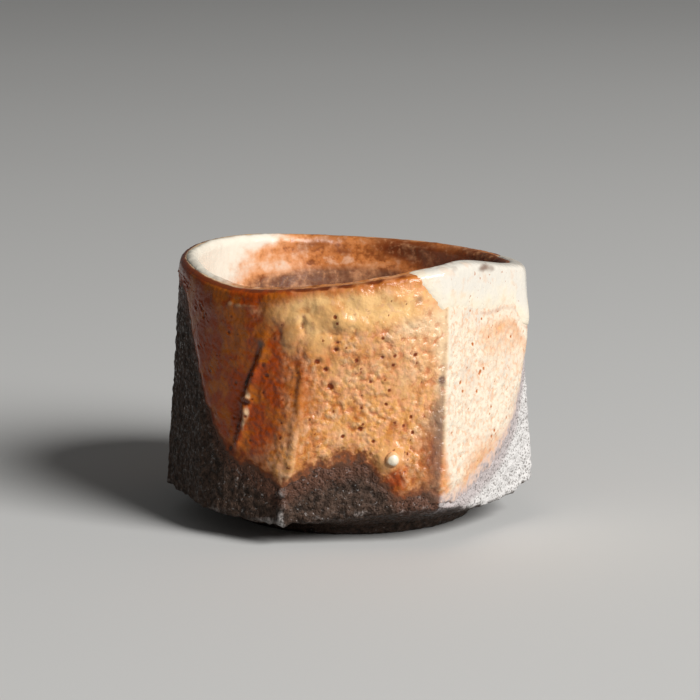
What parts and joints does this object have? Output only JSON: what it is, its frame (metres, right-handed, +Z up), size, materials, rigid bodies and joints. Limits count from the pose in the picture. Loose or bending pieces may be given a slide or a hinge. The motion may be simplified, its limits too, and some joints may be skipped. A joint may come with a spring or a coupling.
{
  "type": "sake cup",
  "caption": "Small stoneware sake cup with a knife-cut faceted wall, a wavy lip, a low foot ring and thick orange feldspar glaze that stops above the foot.",
  "frame": {"origin": "on the ground under the middle of the cup", "axes": "+Z up out of the mouth, -Y towards the viewer of the picture, +X to that viewer's right"},
  "size_m": [0.0682, 0.0662, 0.0516],
  "materials": {
    "stoneware": "bare coarse stoneware, dark grey-brown with pale grit",
    "feldspar_glaze": "thick pinholed feldspar glaze, orange-tan with cream where thick",
    "liner_glaze": "glossy orange-brown feldspar glaze inside the well",
    "white_glaze": "thick glossy cream-white second pour"
  },
  "bodies": {
    "root": {"clay_body": "stoneware", "foot_ring": "stoneware", "outer_glaze": "feldspar_glaze", "inner_glaze": "liner_glaze", "lip_pour": "white_glaze", "glaze_bead": "white_glaze"}
  },
  "joints": []
}
